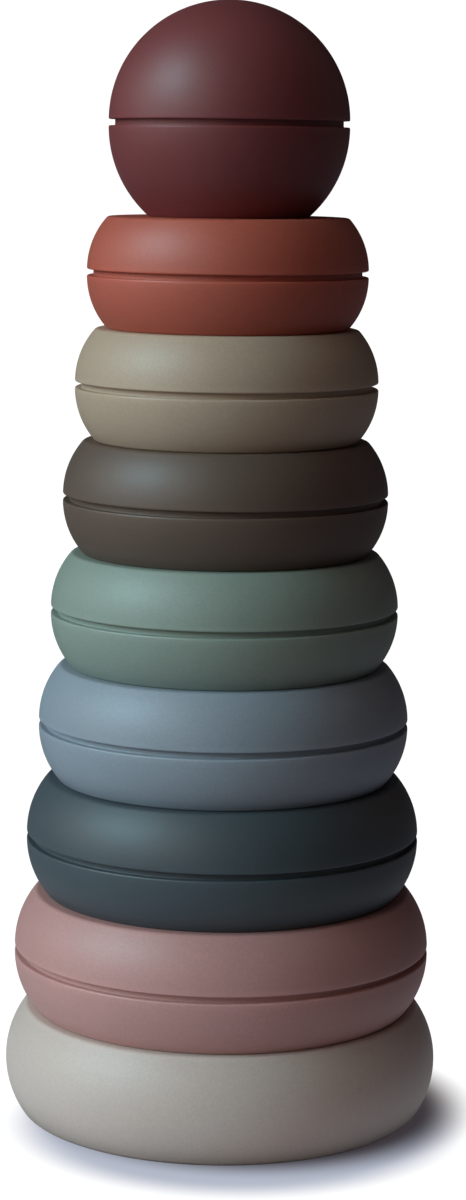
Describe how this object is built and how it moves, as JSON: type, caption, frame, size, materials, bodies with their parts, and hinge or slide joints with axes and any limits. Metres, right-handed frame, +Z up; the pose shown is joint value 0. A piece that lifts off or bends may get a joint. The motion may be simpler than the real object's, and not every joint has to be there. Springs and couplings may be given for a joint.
{
  "type": "stacking ring toy",
  "caption": "Stacking ring toy: hollow grooved rings that get smaller towards the top, threaded on a post in a round base, with a ball that caps the post.",
  "frame": {"origin": "centre of the base's underside, on the floor", "axes": "+Z up the post; the toy is round about Z, so X and Y are free"},
  "size_m": [0.09, 0.09, 0.233],
  "materials": {
    "cream": "moulded plastic with a fine, even satin-matt grain",
    "blush": "moulded plastic with a fine, even satin-matt grain",
    "dark_green": "moulded plastic with a fine, even satin-matt grain",
    "blue": "moulded plastic with a fine, even satin-matt grain",
    "sage": "moulded plastic with a fine, even satin-matt grain",
    "brown": "moulded plastic with a fine, even satin-matt grain",
    "sand": "moulded plastic with a fine, even satin-matt grain",
    "terracotta": "moulded plastic with a fine, even satin-matt grain",
    "burgundy": "moulded plastic with a fine, even satin-matt grain"
  },
  "bodies": {
    "base": {"base_shell": "cream", "base_plate": "cream", "post": "cream"},
    "blush_ring": {"blush_ring_lower_shell": "blush", "blush_ring_upper_shell": "blush"},
    "dark_green_ring": {"dark_green_ring_lower_shell": "dark_green", "dark_green_ring_upper_shell": "dark_green"},
    "blue_ring": {"blue_ring_lower_shell": "blue", "blue_ring_upper_shell": "blue"},
    "sage_ring": {"sage_ring_lower_shell": "sage", "sage_ring_upper_shell": "sage"},
    "brown_ring": {"brown_ring_lower_shell": "brown", "brown_ring_upper_shell": "brown"},
    "sand_ring": {"sand_ring_lower_shell": "sand", "sand_ring_upper_shell": "sand"},
    "terracotta_ring": {"terracotta_ring_lower_shell": "terracotta", "terracotta_ring_upper_shell": "terracotta"},
    "ball": {"ball_lower_shell": "burgundy", "ball_upper_shell": "burgundy"}
  },
  "joints": [
    {"name": "blush_ring_lift", "type": "slide", "parent": "base", "child": "blush_ring", "axis": [0, 0, 1], "range_m": [0, 0.1902]},
    {"name": "dark_green_ring_lift", "type": "slide", "parent": "blush_ring", "child": "dark_green_ring", "axis": [0, 0, 1], "range_m": [0, 0.1666]},
    {"name": "blue_ring_lift", "type": "slide", "parent": "dark_green_ring", "child": "blue_ring", "axis": [0, 0, 1], "range_m": [0, 0.143]},
    {"name": "sage_ring_lift", "type": "slide", "parent": "blue_ring", "child": "sage_ring", "axis": [0, 0, 1], "range_m": [0, 0.1194]},
    {"name": "brown_ring_lift", "type": "slide", "parent": "sage_ring", "child": "brown_ring", "axis": [0, 0, 1], "range_m": [0, 0.0958]},
    {"name": "sand_ring_lift", "type": "slide", "parent": "brown_ring", "child": "sand_ring", "axis": [0, 0, 1], "range_m": [0, 0.0722]},
    {"name": "terracotta_ring_lift", "type": "slide", "parent": "sand_ring", "child": "terracotta_ring", "axis": [0, 0, 1], "range_m": [0, 0.0486]},
    {"name": "ball_lift", "type": "slide", "parent": "terracotta_ring", "child": "ball", "axis": [0, 0, 1], "range_m": [0, 0.025]}
  ]
}
